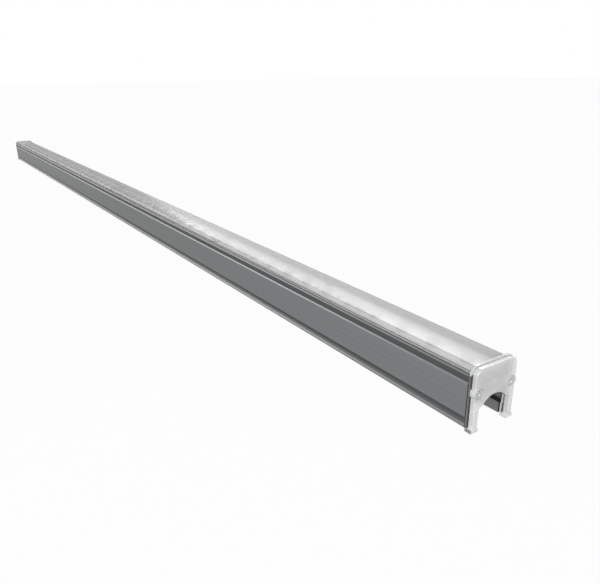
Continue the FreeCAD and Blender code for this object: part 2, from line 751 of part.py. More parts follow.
def build_board(number):
    """One aluminium-core board with its fixing hole."""
    body = new_body("Board%d" % (number + 1))
    reach = "((" + BOARD_PITCH + " - " + size("board_joint") + ") / 2)"
    middle = board_place(number)
    outline = new_sketch(body, "BoardOutline%d" % number, "XY_Plane", BOARD_UNDER)
    draw_box(outline, "(" + middle + " - " + reach + ")", "(" + middle + " + " + reach + ")",
             minus(BOARD_HALF), BOARD_HALF)
    pad(body, outline, size("board_thickness"))
    hole = new_sketch(body, "BoardHole%d" % number, "XY_Plane", BOARD_TOP)
    draw_circle(hole, (middle, FIXING_PLACE), FIXING_HOLE)
    pocket(body, hole)
    node(body, "led_board_%d" % (number + 1))


def build_leds(number):
    """The light-emitting packages of one board, each with a shallow round window."""
    body = new_body("Leds%d" % (number + 1))
    place = first_light(number)
    reach = half("light_width")
    package = new_sketch(body, "LedPackage%d" % number, "XY_Plane", BOARD_TOP)
    draw_box(package, "(" + place + " - " + reach + ")", "(" + place + " + " + reach + ")",
             minus(reach), reach)
    block = pad(body, package, size("light_height"))
    window = new_sketch(body, "LedWindow%d" % number, "XY_Plane",
                        "(" + BOARD_TOP + " + " + size("light_height") + ")")
    draw_circle(window, (place, "0"),
                "(" + size("light_width") + " - 2 * " + size("window_rim") + ")")
    hollow = pocket(body, window, size("window_depth"))
    repeat(body, [block, hollow], "X_Axis", LIGHT_PITCH, size("lights_per_board"))
    node(body, "leds_board_%d" % (number + 1))


def build_lenses(number):
    """Round lenses that stand on the board over each package, with a slightly domed top."""
    body = new_body("Lenses%d" % (number + 1))
    place = first_light(number)
    disc = new_sketch(body, "LensDisc%d" % number, "XY_Plane", BOARD_TOP)
    draw_circle(disc, (place, "0"), LENS)
    cup = pad(body, disc, size("lens_height"))
    bevel = body.newObject("PartDesign::Chamfer", "LensBevel%d" % number)
    bevel.Base = (cup, top_edge(cup.Shape))
    bevel.setExpression("Size", size("lens_dome"))
    body.Tip = bevel
    doc.recompute()
    inside = new_sketch(body, "LensInside%d" % number, "XY_Plane", BOARD_TOP)
    draw_circle(inside, (place, "0"), LENS_INSIDE)
    hollow = pocket(body, inside, "(" + size("light_height") + " + " + size("lens_air") + ")",
                    backwards=True)
    repeat(body, [cup, bevel, hollow], "X_Axis", LIGHT_PITCH, size("lights_per_board"))
    node(body, "lenses_board_%d" % (number + 1))


def top_edge(shape):
    """Name of the edge that lies highest and flat."""
    level = shape.BoundBox.ZMax
    for number, edge in enumerate(shape.Edges, start=1):
        if edge.BoundBox.ZMin > level - 1e-6:
            return ["Edge%d" % number]
    return []


def row_place(steps):
    """X on the middle line, that many pitches in from the light nearest the +X end."""
    reach = "(" + size("board_count") + " * " + size("lights_per_board") + " - 1) / 2"
    return "((" + reach + " - " + steps + ") * " + LIGHT_PITCH + ")"


def run_pitch():
    """A board carries two runs, each with its own driver."""
    return "(" + BOARD_PITCH + " / 2)"


def run_count():
    return "(2 * " + size("board_count") + ")"


def block_row(body, places, prefix, pitch, count):
    """Small blocks between the lights, repeated along the row from the +X end."""
    outline = new_sketch(body, body.Name + "Outline", "XY_Plane", BOARD_TOP)
    reach = half(prefix + "_width")
    for steps in places:
        place = row_place(steps)
        draw_box(outline, "(" + place + " - " + reach + ")", "(" + place + " + " + reach + ")",
                 minus(half(prefix + "_length")), half(prefix + "_length"))
    block = pad(body, outline, size(prefix + "_height"))
    repeat(body, [block], "X_Axis", pitch, count, reverse=True)


def build_capacitors():
    body = new_body("Capacitors")
    block_row(body, [size("capacitor_place")], "capacitor", run_pitch(), run_count())
    node(body, "buffer_capacitors")


def build_resistors():
    """Two resistors on each board, one on each run."""
    body = new_body("Resistors")
    second = "(" + size("resistor_place") + " + " + size("resistor_spacing") + ")"
    block_row(body, [size("resistor_place"), second], "resistor", BOARD_PITCH, size("board_count"))
    node(body, "current_resistors")


def build_chips():
    """Driver chips with flat leads along both sides."""
    body = new_body("Chips")
    place = row_place(size("chip_place"))
    outline = new_sketch(body, "ChipOutline", "XY_Plane", BOARD_TOP)
    draw_box(outline, "(" + place + " - " + half("chip_width") + ")",
             "(" + place + " + " + half("chip_width") + ")",
             minus(half("chip_length")), half("chip_length"))
    block = pad(body, outline, size("chip_height"))
    leads = new_sketch(body, "ChipLeads", "XY_Plane", BOARD_TOP)
    reach = "(" + half("chip_width") + " + " + size("lead_reach") + ")"
    for row in range(int(SIZES["chip_rows"])):
        middle = "((" + str(row) + " - (" + size("chip_rows") + " - 1) / 2) * " \
            + size("lead_pitch") + ")"
        draw_box(leads, "(" + place + " - " + reach + ")", "(" + place + " + " + reach + ")",
                 "(" + middle + " - " + half("lead_width") + ")",
                 "(" + middle + " + " + half("lead_width") + ")")
    legs = pad(body, leads, size("lead_height"))
    repeat(body, [block, legs], "X_Axis", run_pitch(), run_count(), reverse=True)
    node(body, "driver_chips")


def build_links():
    """Low connectors that bridge the joints between the boards."""
    body = new_body("Links")
    joint = "(" + board_place(0) + " + " + BOARD_PITCH + " / 2)"
    outline = new_sketch(body, "LinkOutline", "XY_Plane", BOARD_TOP)
    draw_box(outline, "(" + joint + " - " + half("link_length") + ")",
             "(" + joint + " + " + half("link_length") + ")",
             "(" + size("link_front_edge") + " - " + BOARD_HALF + ")",
             "(" + BOARD_HALF + " - " + size("link_back_edge") + ")")
    block = pad(body, outline, size("link_height"))
    repeat(body, [block], "X_Axis", BOARD_PITCH, "(" + size("board_count") + " - 1)")
    node(body, "board_links")


def build_board_screws():
    """One screw at the middle of each board, through the board into the shelf."""
    body = new_body("BoardScrews")
    place = (board_place(0), FIXING_PLACE)
    shank = new_sketch(body, "BoardScrewShank", "XY_Plane", SHELF_UNDER)
    draw_circle(shank, place, size("fixing_diameter"))
    post = pad(body, shank, "(" + BOARD_TOP + " - " + SHELF_UNDER + ")")
    head = new_sketch(body, "BoardScrewHead", "XY_Plane", BOARD_TOP)
    draw_circle(head, place, size("fixing_head_diameter"))
    cap = pad(body, head, size("fixing_head_height"))
    repeat(body, [post, cap], "X_Axis", BOARD_PITCH, size("board_count"))
    node(body, "board_screws")


def build_tapes():
    """Thermal tapes between the boards and the two shelves. The back one is pierced by the screws."""
    far = "(" + BOARD_HALF + " - " + size("tape_edge") + ")"
    near = "(" + far + " - " + size("tape_width") + ")"
    reach = "(" + PROFILE_END + " - " + size("board_end_gap") + " - " + size("board_joint") + ")"
    for side in ("Back", "Front"):
        body = new_body("Tape" + side)
        strip = new_sketch(body, "TapeStrip" + side, "XY_Plane", SHELF_TOP)
        if side == "Back":
            draw_box(strip, minus(reach), reach, near, far)
        else:
            draw_box(strip, minus(reach), reach, minus(far), minus(near))
        pad(body, strip, size("tape_thickness"))
        if side == "Back":
            hole = new_sketch(body, "TapeHole", "XY_Plane", BOARD_UNDER)
            draw_circle(hole, (board_place(0), FIXING_PLACE), FIXING_HOLE)
            cut = pocket(body, hole)
            repeat(body, [cut], "X_Axis", BOARD_PITCH, size("board_count"))
        node(body, "thermal_tape_" + side.lower())


def build_all():
    fill_sheet()
    build_profile()
    build_cover()
    build_seals()
    build_cap()
    build_gasket()
    build_cap_screws()
    for number in range(int(SIZES["board_count"])):
        build_board(number)
        build_leds(number)
        build_lenses(number)
    build_chips()
    build_capacitors()
    build_resistors()
    build_links()
    build_board_screws()
    build_tapes()
    doc.recompute()


def check_model():
    """Stops at the first feature that failed or the first sub-part without a sound solid."""
    for obj in doc.Objects:
        if "Invalid" in obj.State or "Error" in obj.State:
            raise RuntimeError(obj.Name + " failed: " + str(obj.State))
    for obj in nodes:
        if obj.Shape.isNull() or not obj.Shape.isValid():
            raise RuntimeError(obj.Label + " has no sound shape")


def write_parts():
    os.makedirs("parts", exist_ok=True)
    for obj in nodes:
        obj.Shape.exportStep(os.path.join("parts", obj.Label + ".step"))
        box = obj.Shape.BoundBox
        print("%-22s %2d solids  %8.2f mm3  X %.1f..%.1f  Y %.2f..%.2f  Z %.2f..%.2f" % (
            obj.Label, len(obj.Shape.Solids), obj.Shape.Volume,
            box.XMin, box.XMax, box.YMin, box.YMax, box.ZMin, box.ZMax))


build_all()
check_model()
write_parts()
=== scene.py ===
import math
import bpy
from mathutils import Matrix, Vector


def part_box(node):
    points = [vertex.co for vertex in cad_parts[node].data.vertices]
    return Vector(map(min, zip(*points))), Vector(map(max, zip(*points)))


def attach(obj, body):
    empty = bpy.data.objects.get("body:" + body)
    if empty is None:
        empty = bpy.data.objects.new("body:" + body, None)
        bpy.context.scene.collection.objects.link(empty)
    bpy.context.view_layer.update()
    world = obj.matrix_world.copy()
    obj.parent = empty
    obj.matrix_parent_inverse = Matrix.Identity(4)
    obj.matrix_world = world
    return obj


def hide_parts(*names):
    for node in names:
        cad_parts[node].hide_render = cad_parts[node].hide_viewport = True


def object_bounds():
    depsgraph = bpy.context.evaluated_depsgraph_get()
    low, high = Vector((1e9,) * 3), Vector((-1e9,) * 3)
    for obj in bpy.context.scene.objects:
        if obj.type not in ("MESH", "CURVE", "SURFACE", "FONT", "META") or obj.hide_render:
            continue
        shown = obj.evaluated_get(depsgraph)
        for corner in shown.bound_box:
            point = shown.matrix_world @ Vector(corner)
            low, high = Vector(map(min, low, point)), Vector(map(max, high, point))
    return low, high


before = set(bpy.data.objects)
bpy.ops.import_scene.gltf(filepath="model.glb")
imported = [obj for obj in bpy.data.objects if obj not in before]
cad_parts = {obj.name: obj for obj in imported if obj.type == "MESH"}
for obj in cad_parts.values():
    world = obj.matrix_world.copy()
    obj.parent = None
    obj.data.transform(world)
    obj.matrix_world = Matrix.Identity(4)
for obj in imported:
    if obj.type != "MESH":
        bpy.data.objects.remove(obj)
CAD_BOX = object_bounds()

# A linear wall washer light. It runs along X and stands on its end caps' feet at Z = 0; +Z is the
# side that gives the light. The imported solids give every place, and sizes here are in millimetres.
MM = 0.001

# The photograph's view: where the lens is, and which way it looks from the light.
PHOTO_WIDTH = 600
PHOTO_FOCUS = 604.23             # focal length in pixels of the photograph
LENS_PLACE = Vector((0.64033, -0.18962, 0.14410))
VIEW_AZIMUTH = math.radians(56.628)
VIEW_ELEVATION = math.radians(20.465)
VIEW_ROLL = math.radians(-0.586)

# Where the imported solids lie, in metres.
PROFILE_LOW, PROFILE_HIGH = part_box("housing_extrusion")
COVER_LOW, COVER_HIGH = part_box("diffuser_cover")
BOARD_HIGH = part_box("led_board_1")[1]

# The aluminium profile's section, in millimetres from its middle and from the ground.
PROFILE_HALF = PROFILE_HIGH[1] / MM
PROFILE_FOOT = PROFILE_LOW[2] / MM
RAIL_TOP = PROFILE_HIGH[2] / MM
CHANNEL_HALF = PROFILE_HALF - 2.0
MOUTH_HALF = CHANNEL_HALF - 1.9
LIP_TOP = PROFILE_FOOT + 5.1
WEB_UNDER = LIP_TOP + 9.6
WEB_TOP = WEB_UNDER + 2.3
SHELF_UNDER = WEB_TOP + 2.7
SHELF_TOP = SHELF_UNDER + 1.6
POCKET_TOP = RAIL_TOP - 0.9
CHAMBER_HALF = PROFILE_HALF - 1.7
TOP_LIP_HALF = CHAMBER_HALF - 0.5
SHELF_HALF = CHAMBER_HALF - 4.6
CAVITY_HALF = SHELF_HALF + 1.0
CHANNEL_CORNER = 1.2
PORT_PLACE = PROFILE_HALF - 2.7
PORT_LEVEL = WEB_UNDER + 2.5
PORT_RADIUS = 1.25
PORT_SLIT = 0.6                  # half the width of the slit under the port
DRAWN_EDGE = 0.2                 # an extrusion's corners are never sharp
DRAW_STEPS = 50                  # how many lengths a long section is drawn out in
FIXING_INSET = 1.9               # from a board's back edge to its screw
FIXING_WIDTH = 2.1
CAP_FACE = 2.1                   # the thickness of a cap's face, before its groove
CAP_NECK = 0.5                   # the groove's width
CAP_FRONT_WALL = 0.8             # closes the hollow core at the face
SEEN_DEEP = 0.45                 # faces further in than this are in a recess and get painted shade
SLOPE_DROP = 0.6                 # how far below the profile's top a slope's middle may lie; such slopes get painted shade
FOOT_RISE = 0.6                  # how high the chamfers by the foot reach; they get painted shade
LEAST_GAP = 0.1                  # tells two levels apart

# The milky cover's section.
COVER_HOOK_HALF = COVER_HIGH[1] / MM
COVER_HOOK_LOW = COVER_LOW[2] / MM
COVER_TOP = COVER_HIGH[2] / MM
COVER_HALF = TOP_LIP_HALF - 0.3
COVER_WALL = 1.2
COVER_CROWN = 1.5
COVER_ARCH = 0.35
COVER_EDGE = 1.2
COVER_STEP = 0.15
COVER_STEP_LEVEL = RAIL_TOP + 1.2


# ---------------------------------------------------------------- small helpers

def linear(hex_colour):
    """An sRGB hex value as the linear colour that shaders take."""
    parts = [int(hex_colour[i:i + 2], 16) / 255 for i in (1, 3, 5)]
    bent = [p / 12.92 if p <= 0.04045 else ((p + 0.055) / 1.055) ** 2.4 for p in parts]
    return (*bent, 1.0)


def add(tree, kind, settings=None, links=None):
    """Adds a node, sets its properties and socket values, and links sockets into it."""
    made = tree.nodes.new(kind)
    for name, value in (settings or {}).items():
        if isinstance(name, str) and hasattr(made, name):
            setattr(made, name, value)
        else:
            made.inputs[name].default_value = value
    for name, source in (links or {}).items():
        tree.links.new(source, made.inputs[name])
    return made


def new_material(name):
    """An empty node material with its output."""
    made = bpy.data.materials.new(name)
    made.use_nodes = True
    made.node_tree.nodes.clear()
    output = made.node_tree.nodes.new("ShaderNodeOutputMaterial")
    return made, made.node_tree, output


def deselect():
    bpy.ops.object.select_all(action="DESELECT")


def edit(piece, mode="VERT"):
    """Goes into edit mode on one piece alone, with nothing selected in it."""
    deselect()
    piece.select_set(True)
    bpy.context.view_layer.objects.active = piece
    bpy.ops.object.mode_set(mode="EDIT")
    bpy.ops.mesh.select_mode(type=mode)
    bpy.ops.mesh.select_all(action="DESELECT")


def leave_edit():
    bpy.ops.object.mode_set(mode="OBJECT")


def select_where(piece, items, test):
    """Selects the vertices, edges or faces of a piece that pass a test."""
    leave_edit()
    for item in getattr(piece.data, items):
        if test(item):
            item.select = True
    bpy.ops.object.mode_set(mode="EDIT")


def finish_modifier(piece, kind, **settings):
    """Adds a modifier to a piece and applies it."""
    deselect()
    piece.select_set(True)
    bpy.context.view_layer.objects.active = piece
    made = piece.modifiers.new(kind.title(), kind)
    for name, value in settings.items():
        setattr(made, name, value)
    bpy.ops.object.modifier_apply(modifier=made.name)


def smooth(piece, angle=32):
    """Shades a piece smooth except over sharp edges, with its flat faces kept flat."""
    deselect()
    piece.select_set(True)
    bpy.context.view_layer.objects.active = piece
    bpy.ops.object.shade_smooth_by_angle(angle=math.radians(angle))
    finish_modifier(piece, "WEIGHTED_NORMAL", mode="FACE_AREA", keep_sharp=True)


def wear(piece, *materials):
    piece.data.materials.clear()
    for item in materials:
        piece.data.materials.append(item)


def stand_for(piece, node):
    """The piece rides on the light and stands for a CAD node, which is hidden."""
    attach(piece, "root")
    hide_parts(node)


# ---------------------------------------------------------------- long drawn sections

def arc(centre, radius, start, stop, steps):
    """Points on a circle in the section's plane, angles in degrees from +Y towards +Z."""
    points = []
    for step in range(steps + 1):
        turn = math.radians(start + (stop - start) * step / steps)
        points.append((centre[0] + radius * math.cos(turn), centre[1] + radius * math.sin(turn)))
    return points


def rounded(points):
    return [(across, up, False) for across, up in points]


def sharp(points):
    return [(across, up, True) for across, up in points]


def mirrored(half_outline):
    """A whole outline from its +Y half, which starts and ends near the middle."""
    other = [(-across, up, corner) for across, up, corner in reversed(half_outline)]
    return half_outline + other


def draw_section(name, outline, start, edge):
    """Draws an outline as one face in the plane X = start. The corners marked sharp get a small
    round edge. It is drawn as by hand: one vertex is pulled from corner to corner."""
    bpy.ops.mesh.primitive_plane_add(size=MM, location=(0, 0, 0))
    piece = bpy.context.object
    piece.name = name
    bpy.ops.object.mode_set(mode="EDIT")
    bpy.ops.mesh.select_mode(type="VERT")
    bpy.ops.mesh.select_all(action="SELECT")
    bpy.ops.mesh.merge(type="CENTER")
    spots = [Vector((start, across * MM, up * MM)) for across, up, corner in outline]
    bpy.ops.transform.translate(value=spots[0])
    for before, spot in zip(spots, spots[1:]):
        bpy.ops.mesh.extrude_region_move(TRANSFORM_OT_translate={"value": spot - before})
    bpy.ops.mesh.select_all(action="DESELECT")
    ends = (0, len(spots) - 1)
    select_where(piece, "vertices", lambda v: v.index in ends)
    bpy.ops.mesh.edge_face_add()
    bpy.ops.mesh.select_all(action="SELECT")
    bpy.ops.mesh.edge_face_add()
    bpy.ops.mesh.select_all(action="DESELECT")
    select_where(piece, "vertices", lambda v: outline[v.index][2])
    bpy.ops.mesh.bevel(offset=edge * MM, segments=3, affect="VERTICES", clamp_overlap=True)
    leave_edit()
    return piece


def draw_out(piece, length):
    """Pulls a drawn section out along +X, as an extrusion press does. It goes in short steps, so
    that no face is very long and thin."""
    edit(piece, "FACE")
    bpy.ops.mesh.select_all(action="SELECT")
    for step in range(DRAW_STEPS):
        pull = {"value": (length / DRAW_STEPS, 0, 0)}
        bpy.ops.mesh.extrude_region_move(TRANSFORM_OT_translate=pull)
    bpy.ops.mesh.select_all(action="SELECT")
    bpy.ops.mesh.normals_make_consistent(inside=False)
    leave_edit()


def profile_section():
    """Half of the profile: the channel under the web, the screw port, then the outside upwards
    and back in over the cover's pocket, the shelf and the wiring space."""
    groove_half = PROFILE_HALF - 0.6
    cove_half = PROFILE_HALF - 1.3
    bead_low = PROFILE_FOOT + 0.3
    bead_high = bead_low + 0.7
    cove_low = bead_high + 0.6
    cove_start = PROFILE_HALF - 0.6
    cove_rise = 1.5
    cove_high = cove_low + 3.5
    slope_low = RAIL_TOP - 0.7
    bead_top = slope_low - 0.5
    groove_top = bead_top - 0.4
    groove_low = groove_top - 2.8
    face_top = groove_low - 0.7
    across = cove_start - cove_half
    radius = (across ** 2 + cove_rise ** 2) / (2 * across)
    turn = math.degrees(math.asin(cove_rise / radius))
    cove_centre = (cove_half + radius, cove_low + cove_rise)
    slit_out = PORT_PLACE + PORT_SLIT
    slit_in = PORT_PLACE - PORT_SLIT
    opening = math.degrees(math.asin(PORT_SLIT / PORT_RADIUS))
    corner_half = CHANNEL_HALF - CHANNEL_CORNER
    slit_foot = WEB_UNDER - (slit_out - corner_half)
    port = arc((PORT_PLACE, PORT_LEVEL), PORT_RADIUS, 270 - opening, opening - 90, 18)
    return sharp([(slit_in, WEB_UNDER)]) + rounded(port) + sharp([
        (slit_out, slit_foot),
        (CHANNEL_HALF, WEB_UNDER - CHANNEL_CORNER),
        (CHANNEL_HALF, LIP_TOP),
        (MOUTH_HALF, LIP_TOP),
        (MOUTH_HALF, PROFILE_FOOT),
        (PROFILE_HALF - 0.3, PROFILE_FOOT),
        (PROFILE_HALF, bead_low),
        (PROFILE_HALF, bead_high),
    ]) + rounded(arc(cove_centre, radius, 180 + turn, 180, 8)) + sharp([
        (cove_half, cove_high - 0.6),
        (PROFILE_HALF, cove_high),
        (PROFILE_HALF, face_top),
        (groove_half, groove_low),
        (groove_half, groove_top),
        (PROFILE_HALF, bead_top),
        (PROFILE_HALF - 0.2, slope_low),
        (PROFILE_HALF - 0.8, RAIL_TOP),
        (TOP_LIP_HALF, RAIL_TOP),
        (TOP_LIP_HALF, POCKET_TOP),
        (CHAMBER_HALF, POCKET_TOP),
        (CHAMBER_HALF, SHELF_TOP),
        (SHELF_HALF, SHELF_TOP),
        (SHELF_HALF, SHELF_UNDER),
        (CAVITY_HALF, SHELF_UNDER),
        (CAVITY_HALF, WEB_TOP),
    ])


def drill_shelf(piece):
    """Drills the back shelf for the one screw at the middle of each board."""
    for number in range(1, 5):
        low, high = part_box("led_board_%d" % number)
        place = ((low[0] + high[0]) / 2, high[1] - FIXING_INSET * MM, SHELF_TOP * MM)
        deselect()
        bpy.ops.mesh.primitive_cylinder_add(vertices=32, radius=FIXING_WIDTH / 2 * MM,
                                            depth=6 * MM, location=place)
        drill = bpy.context.object
        finish_modifier(piece, "BOOLEAN", object=drill, operation="DIFFERENCE")
        deselect()
        drill.select_set(True)
        bpy.ops.object.delete()


def build_profile(brushed, painted_shade_tone, painted_light_tone):
    """The extrusion. Its outer faces are taken to be brushed before anodising. The grooves, the
    coves, the slopes by the cover and the chamfers by the foot get a darker tone as painted
    shade, and the light chamber and the ledges a brighter tone as painted light."""
    section = mirrored(profile_section())
    piece = draw_section("drawn_profile", section, PROFILE_LOW[0], DRAWN_EDGE)
    draw_out(piece, PROFILE_HIGH[0] - PROFILE_LOW[0])
    drill_shelf(piece)
    smooth(piece)
    wear(piece, brushed, painted_shade_tone, painted_light_tone)
    recess = (PROFILE_HALF - SEEN_DEEP) * MM
    rail = (RAIL_TOP - 0.8) * MM
    inside = (CHANNEL_HALF + 0.5) * MM
    web = (WEB_TOP - LEAST_GAP) * MM
    # painted shade: the darker tone in the recesses
    paint_faces(piece, 1, lambda c, n: abs(c.y) < recess and c.z < rail)
    # painted light: the brighter tone in the light chamber
    paint_faces(piece, 2, lambda c, n: abs(c.y) < inside and web < c.z < rail and n.z > -0.5)
    paint_faces(piece, 0, lambda c, n: abs(c.y) < inside and c.z < web)
    ledge = LIP_TOP * MM
    # painted highlight: the brighter tone on the ledges' tops
    paint_faces(piece, 2, lambda c, n: n.z > 0.5 and abs(c.z - ledge) < 2 * LEAST_GAP * MM)
    slope = (RAIL_TOP - SLOPE_DROP) * MM
    # painted shade: the darker tone on the slopes by the cover
    paint_faces(piece, 1, lambda c, n: c.z > slope and 0.3 < n.z < 0.9 and abs(n.y) > 0.3)
    foot = (PROFILE_FOOT + FOOT_RISE) * MM
    # painted shade: the darker tone on the chamfers by the foot
    paint_faces(piece, 1, lambda c, n: c.z < foot and n.z < -0.2)
    stand_for(piece, "housing_extrusion")
    return piece


def crown_arc(half_chord, top, steps):
    """The shallow arc of the cover's crown, from the +Y edge to the middle."""
    radius = (half_chord ** 2 + COVER_ARCH ** 2) / (2 * COVER_ARCH)
    lean = math.degrees(math.asin(half_chord / radius))
    return arc((0, top - radius), radius, 90 - lean, 90, steps)


def cover_section():
    """Half of the cover: from the middle of the crown's top out, down to the hook and back in."""
    step_half = COVER_HALF - COVER_STEP
    edge_half = step_half - COVER_EDGE
    edge_low = COVER_TOP - COVER_ARCH - COVER_EDGE
    inner_half = COVER_HALF - COVER_WALL
    inner_top = COVER_TOP - COVER_CROWN
    inner_edge_half = inner_half - COVER_EDGE
    inner_edge_low = inner_top - COVER_ARCH - COVER_EDGE
    hook_top = COVER_HOOK_LOW + 0.5
    outer = list(reversed(crown_arc(edge_half, COVER_TOP, 10)))[1:]
    outer += arc((edge_half, edge_low), COVER_EDGE, 90, 0, 8)[1:]
    inner = arc((inner_edge_half, inner_edge_low), COVER_EDGE, 0, 90, 8)
    inner += crown_arc(inner_edge_half, inner_top, 10)[1:-1]
    return rounded(outer) + sharp([
        (step_half, COVER_STEP_LEVEL),
        (COVER_HALF, COVER_STEP_LEVEL),
        (COVER_HALF, hook_top),
        (COVER_HOOK_HALF, hook_top),
        (COVER_HOOK_HALF, COVER_HOOK_LOW),
        (inner_half, COVER_HOOK_LOW),
    ]) + rounded(inner)


def build_cover(milky, painted_shade_edge, inner_skin):
    """The cover. The milk is counted once, at the outer skin, so the inner skin is fully clear.
    The back's rounded edge gets a duller copy as painted shade, as the photograph shows it."""
    section = mirrored(cover_section())
    piece = draw_section("milky_cover", section, COVER_LOW[0], 0.08)
    draw_out(piece, COVER_HIGH[0] - COVER_LOW[0])
    smooth(piece)
    wear(piece, milky, painted_shade_edge, inner_skin)
    edge = (COVER_HALF - COVER_STEP - COVER_EDGE - 0.3) * MM
    # painted shade: the duller copy of the milky material on the back edge
    paint_faces(piece, 1, lambda c, n: c.y > edge and n.y > 0.05)
    bore_half = (COVER_HALF - COVER_WALL + 0.05) * MM
    bore_top = (COVER_TOP - COVER_CROWN + 0.05) * MM
    paint_faces(piece, 2, lambda c, n: abs(c.y) < bore_half and c.z < bore_top
                and abs(n.x) < 0.5)
    stand_for(piece, "diffuser_cover")
    return piece


# ---------------------------------------------------------------- pieces shaped from the solids

def copy_of(node, name):
    """A copy of a CAD node with its loose triangles merged into whole faces."""
    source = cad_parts[node]
    piece = source.copy()
    piece.data = source.data.copy()
    bpy.context.collection.objects.link(piece)
    piece.name = name
    piece.hide_render = False
    piece.hide_set(False)
    edit(piece)
    bpy.ops.mesh.select_all(action="SELECT")
    bpy.ops.mesh.remove_doubles(threshold=0.002 * MM)
    bpy.ops.mesh.dissolve_limited(angle_limit=math.radians(0.5))
    leave_edit()
    return piece


def soften(piece, width, angle=35, segments=2):
    """Rounds the edges of a moulded or cut piece."""
    finish_modifier(piece, "BEVEL", width=width * MM, segments=segments, limit_method="ANGLE",
                    angle_limit=math.radians(angle), use_clamp_overlap=True)
    smooth(piece)


def shape_node(node, name, slot, width, *materials):
    """A finished piece from a CAD node: merged, with rounded edges and its material."""
    piece = copy_of(node, name)
    soften(piece, width)
    wear(piece, *materials)
    stand_for(piece, node)
    return piece


def paint_faces(piece, index, test):
    """Gives a material slot to the faces whose middle and normal pass a test."""
    for face in piece.data.polygons:
        if test(face.center, face.normal):
            face.material_index = index


# ---------------------------------------------------------------- materials

def anodised_aluminium(name, dark, light, gloss):
    """6063 aluminium, extruded through a die and satin anodised: a soft grey sheen with fine
    lengthwise lines. The real lines are about 0.1 mm apart; these are 0.5 mm so that they show."""
    made, tree, output = new_material(name)
    place = add(tree, "ShaderNodeTexCoord")
    along = add(tree, "ShaderNodeMapping", {"Scale": (3.0, 2000.0, 2000.0)},
                {"Vector": place.outputs["Object"]})
    lines = add(tree, "ShaderNodeTexNoise", {"Scale": 1.0, "Detail": 3.0, "Roughness": 0.6},
                {"Vector": along.outputs["Vector"]})
    tone = add(tree, "ShaderNodeValToRGB", links={"Fac": lines.outputs["Fac"]})
    tone.color_ramp.elements[0].position = 0.3
    tone.color_ramp.elements[0].color = linear(dark)
    tone.color_ramp.elements[1].position = 0.7
    tone.color_ramp.elements[1].color = linear(light)
    sheen = add(tree, "ShaderNodeMapRange", {"To Min": gloss - 0.05, "To Max": gloss + 0.05},
                {"Value": lines.outputs["Fac"]})
    grain = add(tree, "ShaderNodeBump", {"Strength": 0.06, "Distance": 0.02 * MM},
                {"Height": lines.outputs["Fac"]})
    metal = add(tree, "ShaderNodeBsdfPrincipled",
                {"Metallic": 1.0, "Specular Tint": linear("#dcdcdc")},
                {"Base Color": tone.outputs["Color"], "Roughness": sheen.outputs["Result"],
                 "Normal": grain.outputs["Normal"]})
    tree.links.new(metal.outputs["BSDF"], output.inputs["Surface"])
    return made


def milky_plastic(name, gloss, roughness, clearness):
    """Co-extruded milky polycarbonate: smooth, a little glossy, and partly clear, so that some of
    the light reaches the boards. Flow lines from the die run along it, some 3 mm wide."""
    made, tree, output = new_material(name)
    place = add(tree, "ShaderNodeTexCoord")
    along = add(tree, "ShaderNodeMapping", {"Scale": (2.0, 330.0, 330.0)},
                {"Vector": place.outputs["Object"]})
    flow = add(tree, "ShaderNodeTexNoise", {"Scale": 1.0, "Detail": 2.0},
               {"Vector": along.outputs["Vector"]})
    tone = add(tree, "ShaderNodeValToRGB", links={"Fac": flow.outputs["Fac"]})
    tone.color_ramp.elements[0].color = linear("#d8d8d8")
    tone.color_ramp.elements[1].color = linear("#e0e0e0")
    body = add(tree, "ShaderNodeBsdfPrincipled",
               {"Roughness": roughness, "IOR": 1.5, "Specular IOR Level": gloss},
               {"Base Color": tone.outputs["Color"]})
    clear = add(tree, "ShaderNodeBsdfTransparent")
    mixed = add(tree, "ShaderNodeMixShader", {"Fac": clearness},
                {1: body.outputs["BSDF"], 2: clear.outputs["BSDF"]})
    tree.links.new(mixed.outputs["Shader"], output.inputs["Surface"])
    return made


def cap_plastic(name, dark, light, clearness):
    """Natural polycarbonate, injection moulded: a cloudy grey-white that is partly see-through,
    with a polished skin that glints on its edges and a very faint orange peel of 2 mm."""
    made, tree, output = new_material(name)
    place = add(tree, "ShaderNodeTexCoord")
    cloud = add(tree, "ShaderNodeTexNoise", {"Scale": 180.0, "Detail": 3.0},
                {"Vector": place.outputs["Object"]})
    tone = add(tree, "ShaderNodeValToRGB", links={"Fac": cloud.outputs["Fac"]})
    tone.color_ramp.elements[0].color = linear(dark)
    tone.color_ramp.elements[1].color = linear(light)
    peel = add(tree, "ShaderNodeTexNoise", {"Scale": 500.0, "Detail": 1.0},
               {"Vector": place.outputs["Object"]})
    skin = add(tree, "ShaderNodeBump", {"Strength": 0.12, "Distance": 0.05 * MM},
               {"Height": peel.outputs["Fac"]})
    body = add(tree, "ShaderNodeBsdfPrincipled",
               {"Roughness": 0.2, "IOR": 1.58, "Coat Weight": 1.0, "Coat Roughness": 0.06},
               {"Base Color": tone.outputs["Color"], "Normal": skin.outputs["Normal"]})
    clear = add(tree, "ShaderNodeBsdfTransparent")
    mixed = add(tree, "ShaderNodeMixShader", {"Fac": clearness},
                {1: body.outputs["BSDF"], 2: clear.outputs["BSDF"]})
    tree.links.new(mixed.outputs["Shader"], output.inputs["Surface"])
    return made


